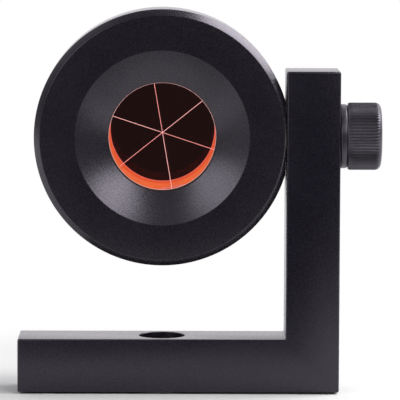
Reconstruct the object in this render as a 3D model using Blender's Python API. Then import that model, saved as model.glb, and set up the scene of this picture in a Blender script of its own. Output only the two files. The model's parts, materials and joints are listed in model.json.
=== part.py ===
"""Survey prism: a corner-cube reflector in a round tilting head, clamped to the upright arm of an L-bracket.

Axes: +X towards the arm and clamp screw, -Y the way the prism looks, +Z up. Metres.
The origin is at the middle of the bounding box in X and Y, at the bracket's underside.
"""

import math

import bmesh
import bpy
from mathutils import Matrix, Vector

for old in list(bpy.data.objects):
    bpy.data.objects.remove(old, do_unlink=True)

MM = 0.001

# ---- driving dimensions, millimetres, measured from the prism axis (X), the bracket's mid-depth (Y) and its underside (Z)
LEG_LENGTH = 75.0          # bar and arm, outside
BAR_THICK = 12.5
BRACKET_DEPTH = 15.0
EDGE_BREAK = 0.4
BAR_LEFT = -33.65
ARM_INNER = 28.85
ARM_OUTER = ARM_INNER + BAR_THICK
AXIS_Z = 59.5              # tilt axis, screw axis and prism centre
MOUNT_HOLE_R = 5.4
MOUNT_HOLE_CHAMFER = 0.15
ARM_HOLE_R = 5.3

HEAD_R = 29.8
HEAD_FRONT = -7.6
HEAD_REAR = 8.5
FRONT_CHAMFER = 1.38
REAR_CHAMFER = 0.8
FUNNEL_R = 20.3
LIP_R = 12.72
LIP_FRONT = -4.2
LIP_REAR = -2.35
BORE_R = 13.3
FLAT_X = 28.55             # milled flat that faces the arm

GLASS_R = 13.1
GLASS_FRONT = -1.8
GLASS_BEVEL = 0.65
GLASS_APEX = 17.6
EDGE_AZIMUTHS = (40.0, 160.0, 280.0)   # the three back edges, seen from the front, from +X towards +Z

SCREW_R = 4.9              # M10 thread envelope
SCREW_TIP = 18.75
INSERT_R = 6.0
INSERT_BORE_R = 5.05
INSERT_IN, INSERT_OUT = 18.15, 27.55
WASHER_X0, WASHER_X1, WASHER_R = 41.45, 43.0, 7.5
KNOB_X0, KNOB_X1, KNOB_R = 43.05, 51.05, 7.88
KNURL_COUNT = 66
KNURL_DEPTH = 0.25
KNURL_END = 49.5
SOCKET_AF, SOCKET_DEPTH = 8.0, 5.0

COVER_FLANGE_R, COVER_FLANGE_Y0, COVER_FLANGE_Y1 = 23.5, 8.62, 10.9
COVER_CUP_R, COVER_CUP_Y1, COVER_FLOOR = 16.5, 22.4, 20.2
COVER_SCREW_PCR = 20.2
COVER_SCREW_AZIMUTHS = (60.0, 180.0, 300.0)

SHIFT = Vector((-(BAR_LEFT + KNOB_X1) / 2, -(COVER_CUP_Y1 - KNOB_R) / 2, 0.0))
PIVOT = Vector((0.0, 0.0, AXIS_Z))


def material(name, colour, roughness, metallic=0.0, transmission=0.0, ior=1.5, coat=0.0):
    made = bpy.data.materials.new(name)
    made.use_nodes = True
    shader = made.node_tree.nodes["Principled BSDF"]
    shader.inputs["Base Color"].default_value = (*colour, 1.0)
    shader.inputs["Roughness"].default_value = roughness
    shader.inputs["Metallic"].default_value = metallic
    shader.inputs["Transmission Weight"].default_value = transmission
    shader.inputs["IOR"].default_value = ior
    shader.inputs["Coat Weight"].default_value = coat
    made.diffuse_color = (*colour, 1.0)
    made.roughness = roughness
    made.metallic = metallic
    return made


BRACKET_BLACK = material("bracket_anodise", (0.020, 0.018, 0.023), 0.52, 0.35)
HOUSING_BLACK = material("housing_anodise", (0.018, 0.016, 0.020), 0.50, 0.35)
COVER_BLACK = material("cover_anodise", (0.018, 0.017, 0.020), 0.50, 0.35)
SCREW_BLACK = material("clamp_screw_oxide", (0.052, 0.050, 0.060), 0.38, 0.85)
WASHER_BLACK = material("washer_oxide", (0.040, 0.038, 0.046), 0.42, 0.85)
SMALL_SCREW = material("cover_screw_oxide", (0.035, 0.034, 0.038), 0.35, 0.85)
INSERT_STEEL = material("insert_steel", (0.56, 0.55, 0.53), 0.30, 1.0)
SPRING_STEEL = material("spring_steel", (0.48, 0.47, 0.46), 0.28, 1.0)
GLASS = material("prism_glass_coated", (0.78, 0.22, 0.09), 0.06, 0.0, 0.35, 1.517)
RUBBER = material("seal_rubber", (0.012, 0.012, 0.013), 0.75)
CUSHION = material("cushion_rubber", (0.022, 0.021, 0.021), 0.80)
ORING = material("oring_rubber", (0.014, 0.014, 0.015), 0.62)
NYLON = material("friction_nylon", (0.62, 0.60, 0.54), 0.55)


def scene_object(name, mesh, mat=None):
    obj = bpy.data.objects.new(name, mesh)
    bpy.context.scene.collection.objects.link(obj)
    if mat is not None:
        mesh.materials.append(mat)
    return obj


def axis_point(axis, radius, angle, along):
    """A point at this radius and azimuth about a row axis. Azimuth runs from +X to +Z about Y, and so on."""
    c, s = radius * math.cos(angle), radius * math.sin(angle)
    if axis == "Y":
        return Vector((c, along, s))
    if axis == "X":
        return Vector((along, c, s))
    return Vector((c, s, along))


def mesh_from(bm, name):
    bmesh.ops.recalc_face_normals(bm, faces=bm.faces[:])
    mesh = bpy.data.meshes.new(name)
    bm.to_mesh(mesh)
    bm.free()
    volume = 0.0
    mesh.calc_loop_triangles()
    for tri in mesh.loop_triangles:
        a, b, c = (mesh.vertices[i].co for i in tri.vertices)
        volume += a.dot(b.cross(c))
    if volume < 0:
        mesh.flip_normals()
    return mesh


def lathe(name, profile, segments, axis="Y", centre=(0, 0, 0), ring=False, radius_of=None, phase=0.0):
    """Turns a profile of (radius, along) points, in mm, about an axis. A ring's profile is a closed loop; any other starts and ends on the axis."""
    bm = bmesh.new()
    centre = Vector(centre)
    rows = []
    for index, (radius, along) in enumerate(profile):
        if radius < 1e-6:
            rows.append([bm.verts.new((axis_point(axis, 0.0, 0.0, along) + centre) * MM)])
            continue
        row = []
        for step in range(segments):
            angle = 2 * math.pi * step / segments + phase
            r = radius_of(index, step, radius) if radius_of else radius
            a = along(angle) if callable(along) else along
            row.append(bm.verts.new((axis_point(axis, r, angle, a) + centre) * MM))
        rows.append(row)
    pairs = list(zip(rows, rows[1:]))
    if ring:
        pairs.append((rows[-1], rows[0]))
    for low, high in pairs:
        for step in range(segments):
            after = (step + 1) % segments
            if len(low) == 1 and len(high) == 1:
                continue
            if len(low) == 1:
                bm.faces.new((low[0], high[step], high[after]))
            elif len(high) == 1:
                bm.faces.new((low[step], low[after], high[0]))
            else:
                bm.faces.new((low[step], low[after], high[after], high[step]))
    return mesh_from(bm, name)


def box_mesh(name, low, high):
    bm = bmesh.new()
    bmesh.ops.create_cube(bm, size=1.0)
    low, high = Vector(low), Vector(high)
    for vert in bm.verts:
        vert.co = Vector([(low[i] + high[i]) / 2 + vert.co[i] * (high[i] - low[i]) for i in range(3)]) * MM
    return mesh_from(bm, name)


def prism_mesh(name, outline, low, high, axis="Y"):
    """Extrudes a closed outline between two planes across an axis. For Y the outline is (x, z); for X it is (y, z)."""
    bm = bmesh.new()

    def point(u, v, along):
        return Vector((u, along, v)) * MM if axis == "Y" else Vector((along, u, v)) * MM

    near = [bm.verts.new(point(u, v, low)) for u, v in outline]
    far = [bm.verts.new(point(u, v, high)) for u, v in outline]
    bm.faces.new(near)
    bm.faces.new(list(reversed(far)))
    for i in range(len(outline)):
        j = (i + 1) % len(outline)
        bm.faces.new((near[i], near[j], far[j], far[i]))
    return mesh_from(bm, name)


def cutter(name, mesh):
    obj = scene_object(name, mesh)
    obj.hide_render = True
    obj.display_type = "WIRE"
    return obj


def apply_to(obj, operations):
    """Runs Booleans on a mesh object and bakes the result, so each node is one plain mesh."""
    for kind, other in operations:
        step = obj.modifiers.new(kind.lower() + "_" + other.name, "BOOLEAN")
        step.operation = kind
        step.object = other
        step.solver = "EXACT"
    bpy.context.view_layer.update()
    graph = bpy.context.evaluated_depsgraph_get()
    baked = bpy.data.meshes.new_from_object(obj.evaluated_get(graph))
    obj.modifiers.clear()
    old = obj.data
    obj.data = baked
    bpy.data.meshes.remove(old)
    for _, other in operations:
        bpy.data.objects.remove(other, do_unlink=True)


def smooth(obj, degrees=32.0):
    bm = bmesh.new()
    bm.from_mesh(obj.data)
    bmesh.ops.remove_doubles(bm, verts=bm.verts[:], dist=1e-7)
    for face in bm.faces:
        face.smooth = True
    for edge in bm.edges:
        if len(edge.link_faces) == 2 and edge.calc_face_angle(0.0) > math.radians(degrees):
            edge.smooth = False
    bm.to_mesh(obj.data)
    bm.free()


def hexagon(across_flats):
    r = across_flats / math.sqrt(3.0)
    return [(r * math.cos(math.radians(60 * k)), r * math.sin(math.radians(60 * k))) for k in range(6)]


# ---- L-bracket: local origin at its own datum (prism axis, mid-depth, underside)
half = BRACKET_DEPTH / 2
outline = [
    (BAR_LEFT, 0.0), (ARM_OUTER, 0.0), (ARM_OUTER, LEG_LENGTH),
    (ARM_INNER, LEG_LENGTH), (ARM_INNER, BAR_THICK), (BAR_LEFT, BAR_THICK),
]
bracket = scene_object("l_bracket", prism_mesh("l_bracket", outline, -half, half), BRACKET_BLACK)
edge_break = bracket.modifiers.new("edge_break", "BEVEL")
edge_break.width = EDGE_BREAK * MM
edge_break.segments = 1
edge_break.limit_method = "ANGLE"
mount_cut = lathe(
    "mount_cut",
    [(0, -2), (MOUNT_HOLE_R + MOUNT_HOLE_CHAMFER + 2, -2), (MOUNT_HOLE_R, MOUNT_HOLE_CHAMFER),
     (MOUNT_HOLE_R, BAR_THICK - MOUNT_HOLE_CHAMFER), (MOUNT_HOLE_R + MOUNT_HOLE_CHAMFER + 2, BAR_THICK + 2), (0, BAR_THICK + 2)],
    48, "Z")
arm_cut = lathe(
    "arm_cut",
    [(0, ARM_INNER - 2), (ARM_HOLE_R + 2.3, ARM_INNER - 2), (ARM_HOLE_R, ARM_INNER + 0.3),
     (ARM_HOLE_R, ARM_OUTER - 0.3), (ARM_HOLE_R + 2.3, ARM_OUTER + 2), (0, ARM_OUTER + 2)],
    48, "X", (0, 0, AXIS_Z))
apply_to(bracket, [("DIFFERENCE", cutter("mount_hole_cut", mount_cut)), ("DIFFERENCE", cutter("arm_hole_cut", arm_cut))])
smooth(bracket)

# ---- tilting head: everything below is drawn about the point where the prism axis meets the tilt axis
housing = scene_object("prism_housing", lathe("prism_housing", [
    (FUNNEL_R, HEAD_FRONT),
    (HEAD_R - FRONT_CHAMFER, HEAD_FRONT),
    (HEAD_R, HEAD_FRONT + FRONT_CHAMFER),
    (HEAD_R, HEAD_REAR - REAR_CHAMFER),
    (HEAD_R - REAR_CHAMFER, HEAD_REAR),
    (17.2, HEAD_REAR), (17.2, HEAD_REAR - 1.4), (15.1, HEAD_REAR - 1.4), (15.1, HEAD_REAR),
    (BORE_R + 0.4, HEAD_REAR), (BORE_R, HEAD_REAR - 0.4),
    (BORE_R, LIP_REAR),
    (LIP_R, LIP_REAR),
    (LIP_R, LIP_FRONT),
], 80, ring=True), HOUSING_BLACK)
cuts = [("DIFFERENCE", cutter("flat_cut", box_mesh("flat_cut", (FLAT_X, -20, -20), (40, 20, 20))))]
recess = lathe("recess_cut", [(0, 27.75), (6.9, 27.75), (6.9, 32), (0, 32)], 40, "X")
cuts.append(("DIFFERENCE", cutter("washer_recess_cut", recess)))
insert_cut = lathe("insert_cut", [(0, 18.05), (6.12, 18.05), (6.12, 30), (0, 30)], 40, "X")
cuts.append(("DIFFERENCE", cutter("insert_hole_cut", insert_cut)))
for number, azimuth in enumerate(COVER_SCREW_AZIMUTHS):
    spot = axis_point("Y", COVER_SCREW_PCR, math.radians(azimuth), 0.0)
    hole = lathe("hole_cut", [(0, HEAD_REAR - 5.6), (1.35, HEAD_REAR - 5.0), (1.35, HEAD_REAR + 2), (0, HEAD_REAR + 2)], 16, "Y", spot, phase=0.1)
    cuts.append(("DIFFERENCE", cutter("cover_hole_cut_%d" % number, hole)))
apply_to(housing, cuts)
smooth(housing, 20.0)

# ---- corner-cube glass: a cylinder ending in three faces square to each other
glass = scene_object("prism_glass", lathe("prism_glass", [
    (0, GLASS_FRONT), (GLASS_R - GLASS_BEVEL, GLASS_FRONT), (GLASS_R, GLASS_FRONT + GLASS_BEVEL), (GLASS_R, GLASS_APEX + 3), (0, GLASS_APEX + 3),
], 60), GLASS)


def corner(name, apex, reach=70.0):
    """A solid corner whose three edges run forward from the apex at the stated azimuths."""
    tip = Vector((0.0, apex, 0.0))
    forward = Vector((0, -1, 0))
    ends = []
    for azimuth in EDGE_AZIMUTHS:
        out = axis_point("Y", 1.0, math.radians(azimuth), 0.0)
        ends.append((out * math.sqrt(2.0 / 3.0) + forward * math.sqrt(1.0 / 3.0)) * reach)
    bm = bmesh.new()
    corners = [tip, tip + ends[0], tip + ends[1], tip + ends[2], tip + ends[0] + ends[1], tip + ends[1] + ends[2], tip + ends[2] + ends[0], tip + ends[0] + ends[1] + ends[2]]
    v = [bm.verts.new(c * MM) for c in corners]
    for quad in ((0, 1, 4, 2), (0, 2, 5, 3), (0, 3, 6, 1), (1, 6, 7, 4), (2, 4, 7, 5), (3, 5, 7, 6)):
        bm.faces.new([v[i] for i in quad])
    return mesh_from(bm, name)


apply_to(glass, [("INTERSECT", cutter("corner_keep", corner("corner_keep", GLASS_APEX)))])
smooth(glass, 20.0)

gasket = scene_object("front_gasket", lathe("front_gasket", [
    (12.56, -2.3), (13.2, -2.3), (13.2, -1.2), (12.56, -1.76),
], 60, ring=True), RUBBER)
smooth(gasket)

cushion = scene_object("prism_cushion", lathe("prism_cushion", [
    (0, 1.2), (13.2, 1.2), (13.2, 18.9), (0, 18.9),
], 48), CUSHION)
apply_to(cushion, [("DIFFERENCE", cutter("tail_pocket_cut", corner("tail_pocket_cut", GLASS_APEX + 0.4)))])
smooth(cushion)


def wave(offset):
    return lambda angle: 19.55 + offset + 0.22 * math.cos(3 * angle)


spring = scene_object("wave_spring", lathe("wave_spring", [
    (9.2, wave(-0.16)), (12.6, wave(-0.16)), (12.6, wave(0.16)), (9.2, wave(0.16)),
], 48, ring=True), SPRING_STEEL)
smooth(spring)

cover = scene_object("rear_cover", lathe("rear_cover", [
    (0, COVER_FLOOR), (13.6, COVER_FLOOR), (13.6, COVER_FLANGE_Y0), (COVER_FLANGE_R - 0.3, COVER_FLANGE_Y0),
    (COVER_FLANGE_R, COVER_FLANGE_Y0 + 0.3), (COVER_FLANGE_R, COVER_FLANGE_Y1 - 0.5), (COVER_FLANGE_R - 0.5, COVER_FLANGE_Y1),
    (COVER_CUP_R + 0.5, COVER_FLANGE_Y1), (COVER_CUP_R, COVER_FLANGE_Y1 + 0.5),
    (COVER_CUP_R, COVER_CUP_Y1 - 1.0), (COVER_CUP_R - 1.0, COVER_CUP_Y1), (0, COVER_CUP_Y1),
], 64), COVER_BLACK)
cuts = []
for number, azimuth in enumerate(COVER_SCREW_AZIMUTHS):
    spot = axis_point("Y", COVER_SCREW_PCR, math.radians(azimuth), 0.0)
    hole = lathe("hole_cut", [(0, COVER_FLANGE_Y0 - 2), (1.45, COVER_FLANGE_Y0 - 2), (1.45, COVER_FLANGE_Y1 + 2), (0, COVER_FLANGE_Y1 + 2)], 16, "Y", spot, phase=0.1)
    cuts.append(("DIFFERENCE", cutter("flange_hole_cut_%d" % number, hole)))
apply_to(cover, cuts)
smooth(cover)

ring_profile = [(16.15 + 0.62 * math.cos(2 * math.pi * k / 10), 7.85 + 0.62 * math.sin(2 * math.pi * k / 10)) for k in range(10)]
oring = scene_object("cover_oring", lathe("cover_oring", ring_profile, 48, ring=True), ORING)
smooth(oring, 50.0)

insert = scene_object("thread_insert", lathe("thread_insert", [
    (INSERT_BORE_R, INSERT_IN), (INSERT_R, INSERT_IN), (INSERT_R, INSERT_OUT), (INSERT_BORE_R + 0.35, INSERT_OUT), (INSERT_BORE_R, INSERT_OUT - 0.35),
], 36, "X", ring=True), INSERT_STEEL)
smooth(insert)

friction = scene_object("friction_washer", lathe("friction_washer", [
    (5.5, 27.87), (6.7, 27.87), (6.7, 28.73), (5.5, 28.73),
], 40, "X", ring=True), NYLON)
smooth(friction)

small_screws = []
for number, azimuth in enumerate(COVER_SCREW_AZIMUTHS, 1):
    top = COVER_FLANGE_Y1 + 0.1
    screw = scene_object("cover_screw_%d" % number, lathe("cover_screw_%d" % number, [
        (0, HEAD_REAR - 4.4), (0.85, HEAD_REAR - 4.4), (1.2, HEAD_REAR - 4.0), (1.2, top), (2.25, top),
        (2.25, top + 2.2), (1.95, top + 2.5), (0, top + 2.5),
    ], 20), SMALL_SCREW)
    socket = prism_mesh("socket_cut", hexagon(2.0), top + 1.2, top + 5.0, "Y")
    apply_to(screw, [("DIFFERENCE", cutter("small_socket_cut_%d" % number, socket))])
    smooth(screw)
    small_screws.append((screw, axis_point("Y", COVER_SCREW_PCR, math.radians(azimuth), 0.0)))

# ---- clamp screw and its washer, on the tilt axis
washer = scene_object("clamp_washer", lathe("clamp_washer", [
    (5.25, WASHER_X0), (WASHER_R - 0.2, WASHER_X0), (WASHER_R, WASHER_X0 + 0.2), (WASHER_R, WASHER_X1 - 0.2), (WASHER_R - 0.2, WASHER_X1), (5.25, WASHER_X1),
], 44, "X", ring=True), WASHER_BLACK)
smooth(washer)

profile = [
    (0, SCREW_TIP), (SCREW_R - 0.9, SCREW_TIP), (SCREW_R, SCREW_TIP + 0.9), (SCREW_R, KNOB_X0),
    (KNOB_R - KNURL_DEPTH - 0.25, KNOB_X0), (KNOB_R - KNURL_DEPTH, KNOB_X0 + 0.2), (KNOB_R, KNOB_X0 + 0.35), (KNOB_R, KNURL_END),
    (KNOB_R - KNURL_DEPTH + 0.05, KNURL_END + 0.35), (KNOB_R - 0.42, KNOB_X1 - 0.65), (KNOB_R - 0.85, KNOB_X1 - 0.18), (KNOB_R - 1.35, KNOB_X1), (0, KNOB_X1),
]


def knurl(index, step, radius):
    return radius - KNURL_DEPTH if index in (6, 7) and step % 2 else radius


screw = scene_object("clamp_screw", lathe("clamp_screw", profile, 2 * KNURL_COUNT, "X", radius_of=knurl), SCREW_BLACK)
socket_cut = prism_mesh("socket_cut", hexagon(SOCKET_AF), KNOB_X1 - SOCKET_DEPTH, KNOB_X1 + 4, "X")
lead_in = lathe("lead_in", [(0, KNOB_X1 - 0.75), (SOCKET_AF / 2 - 0.1, KNOB_X1 - 0.75), (SOCKET_AF / 2 + 1.65, KNOB_X1 + 1), (0, KNOB_X1 + 1)], 36, "X")
apply_to(screw, [("DIFFERENCE", cutter("hex_socket_cut", socket_cut)), ("DIFFERENCE", cutter("socket_lead_in_cut", lead_in))])
smooth(screw, 25.0)

# ---- placing: the head hangs on an empty on the tilt axis, and the washer and screw have their origins on it
bracket.location = SHIFT * MM
pivot = bpy.data.objects.new("head_pivot", None)
bpy.context.scene.collection.objects.link(pivot)
pivot.location = (PIVOT + SHIFT) * MM
for obj in (housing, glass, gasket, cushion, spring, cover, oring, insert, friction):
    obj.parent = pivot
for obj, spot in small_screws:
    obj.parent = pivot
    obj.location = spot * MM
for obj in (washer, screw):
    obj.location = (PIVOT + SHIFT) * MM
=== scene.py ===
import json
import math

import bmesh
import bpy
from mathutils import Matrix, Vector, noise


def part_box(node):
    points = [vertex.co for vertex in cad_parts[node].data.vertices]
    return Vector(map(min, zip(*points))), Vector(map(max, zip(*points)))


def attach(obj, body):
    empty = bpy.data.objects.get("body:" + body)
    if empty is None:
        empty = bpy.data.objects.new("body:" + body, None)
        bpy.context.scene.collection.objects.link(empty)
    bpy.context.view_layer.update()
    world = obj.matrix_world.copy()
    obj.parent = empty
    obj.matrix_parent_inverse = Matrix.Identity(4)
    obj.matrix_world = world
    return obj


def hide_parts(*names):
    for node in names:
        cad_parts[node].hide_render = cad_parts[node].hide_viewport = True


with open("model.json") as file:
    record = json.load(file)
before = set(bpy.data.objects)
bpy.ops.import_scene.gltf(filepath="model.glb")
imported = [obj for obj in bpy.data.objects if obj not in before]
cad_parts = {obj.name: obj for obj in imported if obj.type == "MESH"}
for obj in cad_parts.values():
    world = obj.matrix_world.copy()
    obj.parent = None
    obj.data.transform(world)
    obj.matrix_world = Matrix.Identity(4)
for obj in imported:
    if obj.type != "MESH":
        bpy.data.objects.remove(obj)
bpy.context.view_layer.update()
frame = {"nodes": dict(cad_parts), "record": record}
MM = 0.001

# ------------------------------------------------------------------ places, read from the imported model
joints = {j["name"]: j for j in frame["record"]["behaviour"]["joints"]}
TILT = Vector(joints["head_tilt"]["pos_m"])          # where the prism axis meets the tilt axis
bracket_lo, bracket_hi = map(Vector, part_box("l_bracket"))
housing_lo, housing_hi = map(Vector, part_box("prism_housing"))
cover_lo, cover_hi = map(Vector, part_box("rear_cover"))
glass_lo, glass_hi = map(Vector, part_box("prism_glass"))
gasket_lo, gasket_hi = map(Vector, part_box("front_gasket"))
washer_lo, washer_hi = map(Vector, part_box("clamp_washer"))
screw_lo, screw_hi = map(Vector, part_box("clamp_screw"))
insert_lo, insert_hi = map(Vector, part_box("thread_insert"))
nylon_lo, nylon_hi = map(Vector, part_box("friction_washer"))
oring_lo, oring_hi = map(Vector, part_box("cover_oring"))

mm = lambda metres: metres / MM


# ------------------------------------------------------------------ mesh helpers
def on_axis(axis, radius, angle, along):
    c, s = radius * math.cos(angle), radius * math.sin(angle)
    if axis == "Y":
        return Vector((c, along, s))
    if axis == "X":
        return Vector((along, c, s))
    return Vector((c, s, along))


def fillet(points, radii, closed=False, steps=4):
    """Rounds the corners of a polyline. radii gives one radius per point, 0 for a sharp one."""
    out = []
    count = len(points)
    for i, (x, y) in enumerate(points):
        r = radii[i] if i < len(radii) else 0.0
        if r <= 0 or (not closed and i in (0, count - 1)):
            out.append((x, y))
            continue
        p = Vector((x, y))
        a = Vector(points[i - 1]) - p
        b = Vector(points[(i + 1) % count]) - p
        la, lb = a.length, b.length
        a.normalize()
        b.normalize()
        half = a.angle(b) / 2
        reach = min(r / math.tan(half), 0.48 * la, 0.48 * lb)
        r = reach * math.tan(half)
        middle = p + (a + b).normalized() * (r / math.sin(half))
        start, end = p + a * reach - middle, p + b * reach - middle
        turn = math.atan2(start.x * end.y - start.y * end.x, start.dot(end))
        for k in range(steps + 1):
            t = turn * k / steps
            out.append((middle.x + start.x * math.cos(t) - start.y * math.sin(t), middle.y + start.x * math.sin(t) + start.y * math.cos(t)))
    return out


def outward(mesh):
    volume = 0.0
    mesh.calc_loop_triangles()
    for tri in mesh.loop_triangles:
        a, b, c = (mesh.vertices[i].co for i in tri.vertices)
        volume += a.dot(b.cross(c))
    if volume < 0:
        mesh.flip_normals()
    return mesh


def mesh_from(bm, name):
    bmesh.ops.recalc_face_normals(bm, faces=bm.faces[:])
    mesh = bpy.data.meshes.new(name)
    bm.to_mesh(mesh)
    bm.free()
    return outward(mesh)


def lathe(name, profile, segments, axis="Y", centre=(0, 0, 0), ring=False, radius_of=None, phase=0.0):
    """Turns (radius, along) points in mm about an axis through centre (metres)."""
    bm = bmesh.new()
    centre = Vector(centre)
    rows = []
    for index, (radius, along) in enumerate(profile):
        if radius < 1e-6:
            rows.append([bm.verts.new(on_axis(axis, 0.0, 0.0, along) * MM + centre)])
            continue
        row = []
        for step in range(segments):
            angle = 2 * math.pi * step / segments + phase
            a = along(angle) if callable(along) else along
            r = radius_of(angle, a, radius) if radius_of else radius
            row.append(bm.verts.new(on_axis(axis, r, angle, a) * MM + centre))
        rows.append(row)
    pairs = list(zip(rows, rows[1:]))
    if ring:
        pairs.append((rows[-1], rows[0]))
    for low, high in pairs:
        for step in range(segments):
            after = (step + 1) % segments
            if len(low) == 1 and len(high) == 1:
                continue
            if len(low) == 1:
                bm.faces.new((low[0], high[step], high[after]))
            elif len(high) == 1:
                bm.faces.new((low[step], low[after], high[0]))
            else:
                bm.faces.new((low[step], low[after], high[after], high[step]))
    return mesh_from(bm, name)


def extrude(name, outline, low, high, axis="Y", centre=(0, 0, 0)):
    bm = bmesh.new()
    centre = Vector(centre)

    def point(u, v, along):
        p = Vector((u, along, v)) if axis == "Y" else Vector((along, u, v))
        return p * MM + centre

    near = [bm.verts.new(point(u, v, low)) for u, v in outline]
    far = [bm.verts.new(point(u, v, high)) for u, v in outline]
    bm.faces.new(near)
    bm.faces.new(list(reversed(far)))
    for i in range(len(outline)):
        j = (i + 1) % len(outline)
        bm.faces.new((near[i], near[j], far[j], far[i]))
    return mesh_from(bm, name)


def place(name, mesh, *materials):
    obj = bpy.data.objects.new(name, mesh)
    bpy.context.scene.collection.objects.link(obj)
    for m in materials:
        mesh.materials.append(m)
    return obj


def bake_modifiers(obj):
    bpy.context.view_layer.update()
    graph = bpy.context.evaluated_depsgraph_get()
    baked = bpy.data.meshes.new_from_object(obj.evaluated_get(graph))
    obj.modifiers.clear()
    old = obj.data
    obj.data = baked
    bpy.data.meshes.remove(old)


def booleans(obj, operations):
    tools = []
    for kind, mesh in operations:
        tool = bpy.data.objects.new("tool", mesh)
        bpy.context.scene.collection.objects.link(tool)
        tools.append(tool)
        step = obj.modifiers.new("cut", "BOOLEAN")
        step.operation = kind
        step.object = tool
        step.solver = "EXACT"
    bake_modifiers(obj)
    for tool in tools:
        bpy.data.objects.remove(tool, do_unlink=True)


def smooth(obj, degrees=30.0):
    bm = bmesh.new()
    bm.from_mesh(obj.data)
    bmesh.ops.remove_doubles(bm, verts=bm.verts[:], dist=1e-7)
    for face in bm.faces:
        face.smooth = True
    for edge in bm.edges:
        edge.smooth = not (len(edge.link_faces) == 2 and edge.calc_face_angle(0.0) > math.radians(degrees))
    bm.to_mesh(obj.data)
    bm.free()


def hexagon(across_flats, turn=0.0):
    r = across_flats / math.sqrt(3.0)
    return [(r * math.cos(math.radians(60 * k + turn)), r * math.sin(math.radians(60 * k + turn))) for k in range(6)]


# ------------------------------------------------------------------ materials
class Nodes:
    """A short way to write a node tree."""

    def __init__(self, material):
        material.use_nodes = True
        self.tree = material.node_tree
        self.shader = self.tree.nodes["Principled BSDF"]
        self.output = self.tree.nodes["Material Output"]

    def add(self, kind, **values):
        node = self.tree.nodes.new(kind)
        for key, value in values.items():
            if key.startswith("in_"):
                node.inputs[int(key[3:])].default_value = value
            else:
                setattr(node, key, value)
        return node

    def link(self, a, b):
        self.tree.links.new(a, b)

    def noise(self, vector, scale, detail=3.0, rough=0.55, distortion=0.0):
        n = self.add("ShaderNodeTexNoise")
        n.inputs["Scale"].default_value = scale
        n.inputs["Detail"].default_value = detail
        n.inputs["Roughness"].default_value = rough
        n.inputs["Distortion"].default_value = distortion
        self.link(vector, n.inputs["Vector"])
        return n.outputs["Fac"]

    def spread(self, value, low, high, to_low, to_high, smooth_it=False):
        n = self.add("ShaderNodeMapRange")
        if smooth_it:
            n.interpolation_type = "SMOOTHSTEP"
        for name, v in (("From Min", low), ("From Max", high), ("To Min", to_low), ("To Max", to_high)):
            n.inputs[name].default_value = v
        self.link(value, n.inputs["Value"])
        return n.outputs["Result"]

    def mix(self, factor, a, b, blend="MIX"):
        n = self.add("ShaderNodeMix", data_type="RGBA", blend_type=blend)
        for socket, value in ((n.inputs[0], factor), (n.inputs[6], a), (n.inputs[7], b)):
            if isinstance(value, (int, float)):
                socket.default_value = value
            elif isinstance(value, tuple):
                socket.default_value = (*value, 1.0)
            else:
                self.link(value, socket)
        return n.outputs[2]

    def maths(self, operation, a, b=None):
        n = self.add("ShaderNodeMath", operation=operation)
        for socket, value in ((n.inputs[0], a), (n.inputs[1], b)):
            if value is None:
                continue
            if isinstance(value, (int, float)):
                socket.default_value = value
            else:
                self.link(value, socket)
        return n.outputs[0]

    def bump(self, height, strength, distance, normal=None):
        n = self.add("ShaderNodeBump")
        n.inputs["Strength"].default_value = strength
        n.inputs["Distance"].default_value = distance
        self.link(height, n.inputs["Height"])
        if normal is not None:
            self.link(normal, n.inputs["Normal"])
        return n.outputs["Normal"]

    @property
    def place(self):
        n = self.add("ShaderNodeTexCoord")
        return n.outputs["Object"]


def anodised(name, colour, roughness, ior=1.6, grain=0.3, turned=None):
    """Bead-blasted, black-anodised aluminium: a fine pitted grain, faint cloudiness, and scattered lighter specks in
    the base colour as painted sparkle highlights.
    """
    m = bpy.data.materials.new(name)
    n = Nodes(m)
    here = n.place
    fine = n.noise(here, 6400.0, 2.0, 0.6)
    medium = n.noise(here, 3000.0, 3.0, 0.6)
    cloud = n.noise(here, 45.0, 4.0, 0.6)
    painted_sparkle = n.noise(here, 4200.0, 1.0, 0.5)
    tone = n.mix(n.spread(cloud, 0.3, 0.7, 0.0, 1.0), tuple(c * 0.86 for c in colour), tuple(c * 1.16 for c in colour))
    # painted sparkle highlights: scattered specks of lighter base colour
    tone = n.mix(n.spread(painted_sparkle, 0.60, 0.78, 0.0, 0.5), tone, tuple(min(1.0, c * 2.6 + 0.01) for c in colour))
    n.link(tone, n.shader.inputs["Base Color"])
    rough = n.maths("ADD", n.spread(medium, 0.3, 0.7, roughness - 0.05, roughness + 0.05), n.spread(cloud, 0.3, 0.7, -0.02, 0.02))
    n.link(rough, n.shader.inputs["Roughness"])
    height = n.maths("ADD", n.maths("MULTIPLY", fine, 0.5), medium)
    normal = n.bump(height, grain, 0.00006)
    if turned:
        centred = n.add("ShaderNodeMapping")
        centred.inputs["Location"].default_value = (-TILT.x, -TILT.y, -TILT.z)
        n.link(here, centred.inputs["Vector"])
        parts = n.add("ShaderNodeSeparateXYZ")
        n.link(centred.outputs["Vector"], parts.inputs[0])
        out2 = n.maths("ADD", n.maths("MULTIPLY", parts.outputs[0], parts.outputs[0]), n.maths("MULTIPLY", parts.outputs[2], parts.outputs[2]))
        lathe_place = n.add("ShaderNodeCombineXYZ")
        n.link(n.maths("SQRT", out2), lathe_place.inputs[0])
        n.link(parts.outputs[1], lathe_place.inputs[1])
        lines = n.noise(lathe_place.outputs[0], 3400.0, 2.0, 0.6)
        normal = n.bump(lines, turned, 0.00005, normal)
    n.link(normal, n.shader.inputs["Normal"])
    n.shader.inputs["IOR"].default_value = ior
    n.shader.inputs["Specular Tint"].default_value = (0.93, 0.86, 1.0, 1.0)
    n.shader.inputs["Metallic"].default_value = 0.0
    return m


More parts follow.
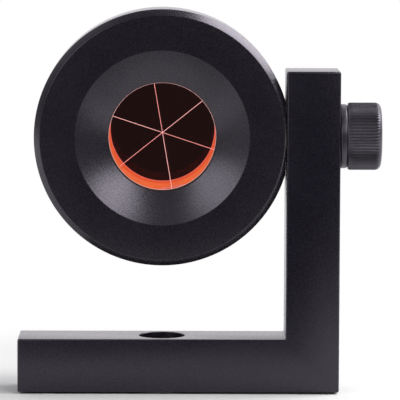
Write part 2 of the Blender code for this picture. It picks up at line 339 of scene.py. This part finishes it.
def steel(name, colour, roughness, metallic=1.0, brushed=None, grain=0.2, cloudy=0.15):
    m = bpy.data.materials.new(name)
    n = Nodes(m)
    here = n.place
    fine = n.noise(here, 3800.0, 3.0, 0.6)
    cloud = n.noise(here, 160.0, 4.0, 0.6)
    tone = n.mix(n.spread(cloud, 0.3, 0.7, 0.0, 1.0), tuple(c * (1 - cloudy) for c in colour), tuple(c * (1 + cloudy) for c in colour))
    n.link(tone, n.shader.inputs["Base Color"])
    n.link(n.spread(fine, 0.3, 0.7, roughness - 0.06, roughness + 0.07), n.shader.inputs["Roughness"])
    height = fine
    if brushed:
        stretch = n.add("ShaderNodeMapping")
        stretch.inputs["Scale"].default_value = brushed
        n.link(here, stretch.inputs["Vector"])
        height = n.maths("ADD", n.noise(stretch.outputs["Vector"], 3000.0, 2.0, 0.5), n.maths("MULTIPLY", fine, 0.3))
    n.link(n.bump(height, grain, 0.00004), n.shader.inputs["Normal"])
    n.shader.inputs["Metallic"].default_value = metallic
    n.shader.inputs["IOR"].default_value = 1.6
    return m


def soft(name, colour, roughness, grain=0.35, scale=1500.0):
    m = bpy.data.materials.new(name)
    n = Nodes(m)
    here = n.place
    fine = n.noise(here, scale, 3.0, 0.6)
    cloud = n.noise(here, 90.0, 3.0, 0.6)
    tone = n.mix(n.spread(cloud, 0.3, 0.7, 0.0, 1.0), tuple(c * 0.8 for c in colour), tuple(c * 1.25 for c in colour))
    n.link(tone, n.shader.inputs["Base Color"])
    n.link(n.spread(fine, 0.3, 0.7, roughness - 0.06, min(1.0, roughness + 0.06)), n.shader.inputs["Roughness"])
    n.link(n.bump(fine, grain, 0.00005), n.shader.inputs["Normal"])
    return m


def glowing_paint(name, colour, roughness, glow, glow_colour=None, variation=0.1):
    """Something seen only through the glass, which lamps reach poorly: paint that glows with painted light of its own,
    standing in for the lamp light that hardly reaches it.
    """
    m = bpy.data.materials.new(name)
    n = Nodes(m)
    here = n.place
    cloud = n.noise(here, 260.0, 3.0, 0.6)
    tone = n.mix(n.spread(cloud, 0.3, 0.7, 0.0, 1.0), tuple(c * (1 - variation) for c in colour), tuple(min(1.0, c * (1 + variation)) for c in colour))
    n.link(tone, n.shader.inputs["Base Color"])
    n.link(n.spread(cloud, 0.3, 0.7, roughness - 0.05, roughness + 0.05), n.shader.inputs["Roughness"])
    # painted light: this emission makes the paint glow like a lamp
    n.shader.inputs["Emission Color"].default_value = (*(glow_colour or colour), 1.0)
    n.shader.inputs["Emission Strength"].default_value = glow
    return m


BRACKET = anodised("black_anodise_bracket", (0.0046, 0.0038, 0.0078), 0.29, grain=0.24)
HOUSING = anodised("black_anodise_housing", (0.0088, 0.0074, 0.0112), 0.27, grain=0.20, turned=0.16)
COVER = anodised("black_anodise_cover", (0.0055, 0.0045, 0.0068), 0.29, turned=0.25)
# painted shade: the lip land belongs to the anodised housing; its darker, duller black stands in for the shadow inside
# the aperture recess
LAND = soft("aperture_land_painted_shade", (0.0030, 0.0026, 0.0028), 0.75, 0.2)
OXIDE = steel("black_oxide_screw", (0.084, 0.079, 0.094), 0.36, 0.9, brushed=(0.35, 1.0, 1.0), grain=0.5)
OXIDE_WASHER = steel("black_oxide_washer", (0.075, 0.071, 0.084), 0.36, 0.9)
OXIDE_SMALL = steel("black_oxide_small_screw", (0.060, 0.058, 0.064), 0.32, 0.9)
STAINLESS = steel("stainless_insert", (0.56, 0.55, 0.53), 0.28, 1.0)
SPRING = steel("spring_steel", (0.48, 0.47, 0.46), 0.26, 1.0, brushed=(1.0, 0.1, 1.0))
RUBBER = soft("black_seal_rubber", (0.0045, 0.0042, 0.0045), 0.70)
CUSHION = soft("moulded_cushion_rubber", (0.020, 0.019, 0.019), 0.74)
ORING = soft("oring_rubber", (0.011, 0.011, 0.012), 0.5)
NYLON = soft("natural_nylon", (0.60, 0.575, 0.51), 0.5, 0.2)

# optical glass: the polished front lets light in and out; the back faces carry a copper mirror; the side is painted
# orange; the orange side, the ground back edges and the ground front bevel also glow with painted light
GLASS = bpy.data.materials.new("optical_glass_front")
g = Nodes(GLASS)
g.shader.inputs["Base Color"].default_value = (1.0, 1.0, 1.0, 1.0)
g.shader.inputs["Roughness"].default_value = 0.0
g.shader.inputs["IOR"].default_value = 1.75
g.shader.inputs["Transmission Weight"].default_value = 1.0
g.shader.inputs["Specular Tint"].default_value = (0.20, 0.20, 0.25, 1.0)
clean = g.mix(g.spread(g.noise(g.place, 140.0, 2.0), 0.35, 0.65, 0.0, 1.0), (0.985, 0.985, 0.985), (1.0, 1.0, 1.0))
g.link(clean, g.shader.inputs["Base Color"])

MIRROR = bpy.data.materials.new("copper_mirror_coating")
g = Nodes(MIRROR)
tint = g.mix(g.spread(g.noise(g.place, 120.0, 2.0), 0.3, 0.7, 0.0, 1.0), (0.94, 0.68, 0.66), (0.965, 0.72, 0.70))
g.link(tint, g.shader.inputs["Base Color"])
g.shader.inputs["Metallic"].default_value = 1.0
g.shader.inputs["Roughness"].default_value = 0.0
# real orange paint and real ground glass, each with painted glow standing in for lamp light seen through the prism
SIDE = glowing_paint("orange_side_paint_painted_glow", (0.85, 0.40, 0.15), 0.45, 0.52, (1.0, 0.39, 0.14), 0.06)
GROUND_EDGE = glowing_paint("ground_back_edges_painted_glow", (0.95, 0.58, 0.58), 0.6, 0.68, (1.0, 0.56, 0.58), 0.05)
GROUND_BEVEL = glowing_paint("ground_front_bevel_painted_glow", (0.92, 0.62, 0.60), 0.55, 0.42, (1.0, 0.55, 0.52), 0.08)

# ------------------------------------------------------------------ L-bracket
x0, x1 = mm(bracket_lo.x), mm(bracket_hi.x)
y0, y1 = mm(bracket_lo.y), mm(bracket_hi.y)
z0, z1 = mm(bracket_lo.z), mm(bracket_hi.z)
THICK = 12.5
outline = [(x0, z0), (x1, z0), (x1, z1), (x1 - THICK, z1), (x1 - THICK, z0 + THICK), (x0, z0 + THICK)]
bracket = place("bracket_body", extrude("bracket_body", outline, y0, y1), BRACKET)
bevel = bracket.modifiers.new("edge_break", "BEVEL")
bevel.width = 0.42 * MM
bevel.segments = 4
bevel.limit_method = "ANGLE"
bevel.harden_normals = False
hole = fillet([(0, z0 - 2), (7.55, z0 - 2), (5.4, z0 + 0.15), (5.4, z0 + THICK - 0.15), (7.55, z0 + THICK + 2), (0, z0 + THICK + 2)], [0, 0, 0.1, 0.1, 0, 0])
hole_mesh = lathe("hole", hole, 128, "Z", (TILT.x, TILT.y, 0))
arm_in, arm_out = x1 - THICK, x1
arm_hole = fillet([(0, arm_in - 2), (7.6, arm_in - 2), (5.3, arm_in + 0.3), (5.3, arm_out - 0.3), (7.6, arm_out + 2), (0, arm_out + 2)], [0, 0, 0.2, 0.2, 0, 0])
arm_mesh = lathe("arm_hole", arm_hole, 128, "X", (0, TILT.y, TILT.z))
booleans(bracket, [("DIFFERENCE", hole_mesh), ("DIFFERENCE", arm_mesh)])
smooth(bracket, 25.0)
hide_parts("l_bracket")
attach(bracket, "bracket")

# ------------------------------------------------------------------ round head, drawn about the tilt point
front = mm(housing_lo.y - TILT.y)
rear = mm(housing_hi.y - TILT.y)
R = mm(housing_hi.z - housing_lo.z) / 2
flat_x = mm(housing_hi.x - TILT.x)
glass_front = mm(glass_lo.y - TILT.y)
apex = mm(glass_hi.y - TILT.y)
lip_front, lip_rear = glass_front - 2.4, glass_front - 0.55
housing_profile = fillet([
    (20.3, front), (R - 1.38, front), (R, front + 1.38), (R, rear - 0.8), (R - 0.8, rear),
    (17.2, rear), (17.2, rear - 1.4), (15.1, rear - 1.4), (15.1, rear), (13.7, rear), (13.3, rear - 0.4),
    (13.3, lip_rear), (12.72, lip_rear), (12.72, lip_front),
], [0.12, 0.18, 0.18, 0.2, 0.2, 0.12, 0.1, 0.1, 0.12, 0.1, 0.1, 0.05, 0.08, 0.10], closed=True, steps=3)
housing = place("head_housing", lathe("head_housing", housing_profile, 288, "Y", TILT, ring=True), HOUSING)
cuts = []
box = bmesh.new()
bmesh.ops.create_cube(box, size=1.0)
for v in box.verts:
    v.co = Vector((flat_x + 6.0 + v.co.x * 12.0, v.co.y * 40.0, v.co.z * 40.0)) * MM + TILT
cuts.append(("DIFFERENCE", mesh_from(box, "flat")))
floor_x = mm(nylon_lo.x - TILT.x) - 0.12
insert_x = mm(insert_lo.x - TILT.x) - 0.10
cuts.append(("DIFFERENCE", lathe("recess", [(0, floor_x), (6.9, floor_x), (6.9, 33), (0, 33)], 96, "X", TILT)))
cuts.append(("DIFFERENCE", lathe("insert_hole", [(0, insert_x), (6.1, insert_x), (6.1, 31), (0, 31)], 96, "X", TILT)))
for k in (1, 2, 3):
    lo, hi = map(Vector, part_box("cover_screw_%d" % k))
    c = (lo + hi) / 2 - TILT
    cuts.append(("DIFFERENCE", lathe("pilot", [(0, rear - 5.6), (1.33, rear - 5.0), (1.33, rear + 2), (0, rear + 2)], 40, "Y", TILT + Vector((c.x, 0, c.z)), phase=0.05)))
booleans(housing, cuts)
smooth(housing, 25.0)
# the lip land inside the aperture gets the darker material, painted shade in that recess
housing.data.materials.append(LAND)
for poly in housing.data.polygons:
    middle = poly.center - TILT
    if lip_front + 0.02 < mm(middle.y) < lip_rear and math.hypot(middle.x, middle.z) < 12.9 * MM:
        poly.material_index = 1
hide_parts("prism_housing")
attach(housing, "prism_head")

# ------------------------------------------------------------------ corner-cube glass
EDGES = (40.0, 160.0, 280.0)
edge_dirs = []
for azimuth in EDGES:
    out = on_axis("Y", 1.0, math.radians(azimuth), 0.0)
    edge_dirs.append((out * math.sqrt(2.0 / 3.0) + Vector((0, -1, 0)) * math.sqrt(1.0 / 3.0)).normalized())


def corner_mesh(apex_y, strip):
    """A solid corner with its three edges and tip ground back to narrow strips."""
    tip = Vector((0.0, apex_y, 0.0))
    e = [d * 70.0 for d in edge_dirs]
    points = [tip, tip + e[0], tip + e[1], tip + e[2], tip + e[0] + e[1], tip + e[1] + e[2], tip + e[2] + e[0], tip + e[0] + e[1] + e[2]]
    bm = bmesh.new()
    v = [bm.verts.new(p * MM + TILT) for p in points]
    for quad in ((0, 1, 4, 2), (0, 2, 5, 3), (0, 3, 6, 1), (1, 6, 7, 4), (2, 4, 7, 5), (3, 5, 7, 6)):
        bm.faces.new([v[i] for i in quad])
    bmesh.ops.recalc_face_normals(bm, faces=bm.faces[:])
    chosen = [x for x in bm.edges if v[0] in x.verts]
    bmesh.ops.bevel(bm, geom=chosen, offset=strip * MM, offset_type="WIDTH", segments=1, affect="EDGES", profile=0.5)
    return mesh_from(bm, "corner")


GLASS_R = 13.1
BEVEL = 0.65
glass = place("prism_glass_block", lathe("prism_glass_block", [
    (0, glass_front), (GLASS_R - BEVEL, glass_front), (GLASS_R - BEVEL + 0.2, glass_front + 0.2), (GLASS_R, glass_front + BEVEL), (GLASS_R, apex + 3), (0, apex + 3),
], 288, "Y", TILT), GLASS, GROUND_BEVEL, SIDE, MIRROR, GROUND_EDGE)
booleans(glass, [("INTERSECT", corner_mesh(apex, 0.13))])
for poly in glass.data.polygons:
    n = poly.normal
    centre = poly.center - TILT
    if n.y < -0.999:
        poly.material_index = 0
    elif n.y < -0.3:
        poly.material_index = 1 if mm(math.hypot(centre.x, centre.z)) < GLASS_R - BEVEL + 0.2 else 2
    elif abs(n.y) < 0.02 and math.hypot(centre.x, centre.z) > 0.9 * GLASS_R * MM:
        poly.material_index = 2
    elif any(n.dot(-d) > 0.9995 for d in edge_dirs):
        poly.material_index = 3
    else:
        poly.material_index = 4
for poly in glass.data.polygons:
    poly.use_smooth = poly.material_index in (1, 2)
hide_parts("prism_glass")
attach(glass, "prism_head")

gasket = place("aperture_gasket", lathe("aperture_gasket", fillet([
    (12.56, mm(gasket_lo.y - TILT.y)), (13.2, mm(gasket_lo.y - TILT.y)), (13.2, glass_front + 0.60), (12.56, glass_front + 0.04),
], [0.12, 0.1, 0.05, 0.08], closed=True, steps=3), 256, "Y", TILT, ring=True), RUBBER)
smooth(gasket, 40.0)
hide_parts("front_gasket")
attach(gasket, "prism_head")

# ------------------------------------------------------------------ rear cover and its screws
c0 = mm(cover_lo.y - TILT.y)
c1 = mm(cover_hi.y - TILT.y)
flange_top = c0 + 2.28
cover = place("back_cover", lathe("back_cover", fillet([
    (0, c1 - 2.2), (13.6, c1 - 2.2), (13.6, c0), (23.2, c0), (23.5, c0 + 0.3), (23.5, flange_top - 0.5), (23.0, flange_top),
    (17.0, flange_top), (16.5, flange_top + 0.5), (16.5, c1 - 1.0), (15.5, c1), (12.4, c1), (12.1, c1 - 0.3), (0, c1 - 0.3),
], [0, 0.3, 0.15, 0.1, 0.1, 0.15, 0.15, 0.4, 0.4, 0.25, 0.25, 0.1, 0.1, 0], steps=4), 256, "Y", TILT), COVER)
cuts = []
for k in (1, 2, 3):
    lo, hi = map(Vector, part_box("cover_screw_%d" % k))
    c = (lo + hi) / 2 - TILT
    cuts.append(("DIFFERENCE", lathe("clear", [(0, c0 - 2), (1.45, c0 - 2), (1.45, flange_top - 0.15), (1.8, flange_top + 0.2), (1.8, flange_top + 2), (0, flange_top + 2)], 40, "Y", TILT + Vector((c.x, 0, c.z)), phase=0.05)))
booleans(cover, cuts)
smooth(cover, 25.0)
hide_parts("rear_cover")
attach(cover, "prism_head")


def thread_wave(t):
    """Depth share of a 60 degree thread at phase t of its pitch: 0 on the crest, 1 at the root."""
    t = t % 1.0
    if t < 0.125:
        return 0.0
    if t < 0.4375:
        return (t - 0.125) / 0.3125
    if t < 0.6875:
        return 1.0
    return 1.0 - (t - 0.6875) / 0.3125


def threaded(start, end, radius, depth, pitch, chamfer, relief, rows_per_pitch=10):
    """Profile rows and a radius function for a right-hand external thread between start and end."""
    rows = []
    count = max(2, int((end - start) / pitch * rows_per_pitch))
    for k in range(count + 1):
        rows.append((radius, start + (end - start) * k / count))

    def radius_of(angle, along, r):
        if not start - 1e-9 <= along <= end + 1e-9 or abs(r - radius) > 1e-6:
            return r
        fade = min(1.0, max(0.0, (end - along) / relief))
        cut = depth * thread_wave((along - start) / pitch - angle / (2 * math.pi)) * fade
        lead = max(0.0, chamfer - (along - start))
        return min(radius - cut, radius - lead)

    return rows, radius_of


for k in (1, 2, 3):
    name = "cover_screw_%d" % k
    lo, hi = map(Vector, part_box(name))
    c = (lo + hi) / 2 - TILT
    at = TILT + Vector((c.x, 0, c.z))
    a0, a1 = mm(lo.y - TILT.y), mm(hi.y - TILT.y)
    seat = a1 - 2.5
    rows, radius_of = threaded(a0, seat - 0.4, 1.19, 0.25, 0.45, 0.3, 0.3, 6)
    head = fillet([(1.19, seat), (2.25, seat), (2.25, a1), (0, a1)], [0, 0.1, 0.38, 0], steps=4)
    screw = place("flange_screw_%d" % k, lathe("flange_screw_%d" % k, [(0, a0)] + rows + head, 64, "Y", at, radius_of=radius_of), OXIDE_SMALL)
    booleans(screw, [
        ("DIFFERENCE", extrude("hex", hexagon(2.0, 17.0 * k), a1 - 1.3, a1 + 3, "Y", at)),
        ("DIFFERENCE", lathe("lead", [(0, a1 - 0.25), (0.98, a1 - 0.25), (1.35, a1 + 0.2), (0, a1 + 0.2)], 36, "Y", at)),
    ])
    smooth(screw, 30.0)
    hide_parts(name)
    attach(screw, "prism_head")

# ------------------------------------------------------------------ clamp washer and knurled screw
w0, w1 = mm(washer_lo.x), mm(washer_hi.x)
WR = mm(washer_hi.z - washer_lo.z) / 2
on_tilt = Vector((0, TILT.y, TILT.z))
washer = place("plain_washer", lathe("plain_washer", fillet([
    (5.25, w0), (WR, w0), (WR, w1), (5.25, w1),
], [0.15, 0.3, 0.3, 0.15], closed=True, steps=4), 192, "X", on_tilt, ring=True), OXIDE_WASHER)
smooth(washer, 30.0)
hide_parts("clamp_washer")
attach(washer, "washer")

s0, s1 = mm(screw_lo.x), mm(screw_hi.x)
KR = mm(screw_hi.z - screw_lo.z) / 2
seat = w1 + 0.05
KNURLS = 66
rows, thread_radius = threaded(s0, seat - 0.9, 4.9, 0.82, 1.5, 0.9, 1.0, 10)
body = [(4.9, seat - 0.6), (4.9, seat - 0.15), (5.2, seat)]
knob = fillet([(KR - 0.62, seat), (KR - 0.30, seat + 0.28)], [0, 0])
knurl_start, knurl_end = seat + 0.28, s1 - 1.55
steps_along = [knurl_start + (knurl_end - knurl_start) * k / 14 for k in range(15)]
knurl_rows = [(KR, a) for a in steps_along]
crown = [(KR - 1.45 * (1 - math.sin(math.radians(a))), s1 - 1.45 * (1 - math.cos(math.radians(a)))) for a in range(84, 6, -7)] + [(KR - 1.4, s1), (4.0, s1), (0, s1)]
crown = [p for p in crown if p[0] > 4.3] + [(0, s1)]


def screw_radius(angle, along, r):
    if along < seat - 0.8:
        return thread_radius(angle, along, r)
    if knurl_start - 1e-6 <= along <= s1 - 0.2 and r > KR - 0.5:
        wave = (angle * KNURLS / (2 * math.pi)) % 1.0
        valley = 1.0 - abs(2 * wave - 1.0)                  # 0 on a ridge, 1 in a groove
        lead = 0.16 * max(0.0, 1 - (along - knurl_start) / 0.35)
        return min(r - lead, KR - 0.27 * valley)
    return r


screw = place("knurled_clamp_screw", lathe("knurled_clamp_screw", [(0, s0), (3.6, s0)] + rows + body + knob + knurl_rows + crown, KNURLS * 8, "X", on_tilt, radius_of=screw_radius), OXIDE)
booleans(screw, [
    ("DIFFERENCE", extrude("hex", hexagon(8.0), s1 - 5.0, s1 + 3, "X", on_tilt)),
    ("DIFFERENCE", lathe("lead", [(0, s1 - 0.75), (3.9, s1 - 0.75), (5.15, s1 + 0.5), (0, s1 + 0.5)], 128, "X", on_tilt)),
])
smooth(screw, 28.0)
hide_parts("clamp_screw")
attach(screw, "screw")

# ------------------------------------------------------------------ inner pieces that keep their CAD shape
for name, material in (("prism_cushion", CUSHION), ("wave_spring", SPRING), ("cover_oring", ORING), ("thread_insert", STAINLESS), ("friction_washer", NYLON)):
    node = frame["nodes"][name]
    node.data.materials.clear()
    node.data.materials.append(material)

# ------------------------------------------------------------------ floor, light and camera
floor_bm = bmesh.new()
corners = [floor_bm.verts.new(p) for p in ((-1.6, -0.17, 0), (1.6, -0.17, 0), (1.6, 1.1, 0), (-1.6, 1.1, 0))]
floor_bm.faces.new(corners)
floor_mesh = bpy.data.meshes.new("floor")
floor_bm.to_mesh(floor_mesh)
floor_bm.free()
FLOOR = bpy.data.materials.new("pale_floor")
f = Nodes(FLOOR)
ground = f.mix(f.spread(f.noise(f.place, 30.0, 3.0), 0.3, 0.7, 0.0, 1.0), (0.58, 0.58, 0.58), (0.60, 0.60, 0.60))
where = f.add("ShaderNodeSeparateXYZ")
f.link(f.place, where.inputs[0])
sideways = f.maths("ABSOLUTE", where.outputs[0])
bright = f.maths("MAXIMUM", f.spread(where.outputs[1], -0.10, -0.058, 0.0, 1.0, True), f.spread(sideways, 0.050, 0.085, 0.0, 1.0, True))
f.link(f.mix(bright, (0.20, 0.20, 0.20), ground), f.shader.inputs["Base Color"])
reach = f.add("ShaderNodeVectorMath", operation="LENGTH")
f.link(f.place, reach.inputs[0])
f.shader.inputs["Emission Color"].default_value = (1.0, 1.0, 1.0, 1.0)
f.link(f.spread(reach.outputs["Value"], 0.10, 0.45, 0.0, 0.75), f.shader.inputs["Emission Strength"])
f.shader.inputs["Roughness"].default_value = 0.95
# to the eye the floor runs out into the white backdrop
backdrop = f.add("ShaderNodeEmission")
backdrop.inputs["Strength"].default_value = 1.0
seen = f.add("ShaderNodeLightPath")
blend = f.add("ShaderNodeMixShader")
away = f.maths("MAXIMUM", f.spread(reach.outputs["Value"], 0.065, 0.115, 0.0, 1.0, True), f.spread(where.outputs[1], -0.070, -0.040, 1.0, 0.0, True))
f.link(f.maths("MULTIPLY", seen.outputs["Is Camera Ray"], away), blend.inputs[0])
f.link(f.shader.outputs[0], blend.inputs[1])
f.link(backdrop.outputs[0], blend.inputs[2])
f.link(blend.outputs[0], f.output.inputs["Surface"])
f.shader.inputs["Specular IOR Level"].default_value = 0.0
floor = place("floor", floor_mesh, FLOOR)
floor.location = (0, 0, bracket_lo.z - 0.0004)


def softbox(name, direction, distance, size, radiance, colour=(1, 1, 1)):
    data = bpy.data.lights.new(name, "AREA")
    data.shape = "RECTANGLE"
    data.size, data.size_y = size
    data.energy = radiance * math.pi * size[0] * size[1]
    data.color = colour
    obj = bpy.data.objects.new(name, data)
    bpy.context.scene.collection.objects.link(obj)
    aim = Vector((TILT.x, TILT.y, TILT.z))
    direction = Vector(direction).normalized()
    obj.location = aim + direction * distance
    obj.rotation_mode = "QUATERNION"
    obj.rotation_quaternion = (-direction).to_track_quat("-Z", "Y")
    obj.visible_camera = False
    return obj


softbox("rim_right", (0.65, 0.05, 0.76), 1.0, (0.66, 0.80), 9.1)
softbox("key_right", (0.49, -0.71, 0.51), 1.0, (0.48, 0.42), 6.2)
softbox("fill_left", (-0.56, -0.70, 0.44), 1.0, (0.50, 0.52), 3.1)

world = bpy.data.worlds.new("studio")
bpy.context.scene.world = world
world.use_nodes = True
tree = world.node_tree
for node in list(tree.nodes):
    tree.nodes.remove(node)
new = tree.nodes.new


def wmath(operation, a, b=None, clamp=False):
    node = new("ShaderNodeMath")
    node.operation = operation
    node.use_clamp = clamp
    for socket, value in ((node.inputs[0], a), (node.inputs[1], b)):
        if value is None:
            continue
        if isinstance(value, (int, float)):
            socket.default_value = value
        else:
            tree.links.new(value, socket)
    return node.outputs[0]


def wrange(value, low, high, to_low, to_high):
    node = new("ShaderNodeMapRange")
    node.interpolation_type = "SMOOTHSTEP"
    for socket, v in (("From Min", low), ("From Max", high), ("To Min", to_low), ("To Max", to_high)):
        node.inputs[socket].default_value = v
    tree.links.new(value, node.inputs["Value"])
    return node.outputs["Result"]


coords = new("ShaderNodeTexCoord")
split = new("ShaderNodeSeparateXYZ")
tree.links.new(coords.outputs["Generated"], split.inputs[0])
dx, dy, dz = split.outputs[0], split.outputs[1], split.outputs[2]
front_level = wrange(dx, -0.9, 0.9, 0.43, 0.10)
level = wmath("ADD", wmath("MULTIPLY", wrange(dy, -0.10, 0.58, 1.0, 0.0), front_level), wrange(dy, -0.10, 0.58, 0.0, 1.35))
# the dark opening in which the camera stands
towards = wmath("ADD", wmath("MULTIPLY", dy, -0.995), wmath("MULTIPLY", dz, 0.10))
hole_dark = wrange(towards, 0.86, 0.96, 1.0, 0.06)
level = wmath("MULTIPLY", wmath("MULTIPLY", level, hole_dark), wrange(dz, 0.80, 0.97, 1.0, 0.35))
level = wmath("MULTIPLY", level, wrange(dx, -0.97, -0.80, 0.4, 1.0))
studio = new("ShaderNodeBackground")
studio.inputs["Color"].default_value = (0.99, 0.965, 1.0, 1.0)
tree.links.new(level, studio.inputs["Strength"])
plain = new("ShaderNodeBackground")
plain.inputs["Color"].default_value = (1, 1, 1, 1)
plain.inputs["Strength"].default_value = 1.0
path = new("ShaderNodeLightPath")
mixer = new("ShaderNodeMixShader")
tree.links.new(path.outputs["Is Camera Ray"], mixer.inputs[0])
tree.links.new(studio.outputs[0], mixer.inputs[1])
tree.links.new(plain.outputs[0], mixer.inputs[2])
out = new("ShaderNodeOutputWorld")
tree.links.new(mixer.outputs[0], out.inputs["Surface"])

PITCH, YAW, ROLL = math.radians(5.741), math.radians(0.514), math.radians(0.205)
fwd = Vector((math.sin(YAW) * math.cos(PITCH), math.cos(YAW) * math.cos(PITCH), -math.sin(PITCH)))
right = Vector((math.cos(YAW), -math.sin(YAW), 0.0))
up = right.cross(fwd)
right2 = right * math.cos(ROLL) + up * math.sin(ROLL)
up2 = -right * math.sin(ROLL) + up * math.cos(ROLL)
cam_data = bpy.data.cameras.new("camera")
cam_data.sensor_width = 36.0
cam_data.sensor_fit = "HORIZONTAL"
cam_data.lens = 36.0 * 3292.33 / 400.0
cam_data.clip_start, cam_data.clip_end = 0.01, 50.0
camera = bpy.data.objects.new("camera", cam_data)
bpy.context.scene.collection.objects.link(camera)
basis = Matrix((right2, up2, -fwd)).transposed().to_4x4()
basis.translation = Vector((bracket_lo.x + 0.035617, bracket_lo.y - 0.759423, 0.121517))
camera.matrix_world = basis
bpy.context.scene.camera = camera

scene = bpy.context.scene
scene.view_settings.view_transform = "Standard"
scene.view_settings.look = "None"
scene.view_settings.exposure = 0.0
scene.view_settings.gamma = 1.0
scene.cycles.use_denoising = True
scene.cycles.max_bounces = 16
scene.cycles.transmission_bounces = 12
scene.cycles.glossy_bounces = 8
scene.cycles.diffuse_bounces = 3
scene.cycles.sample_clamp_indirect = 6.0
scene.cycles.caustics_refractive = True
scene.cycles.caustics_reflective = True
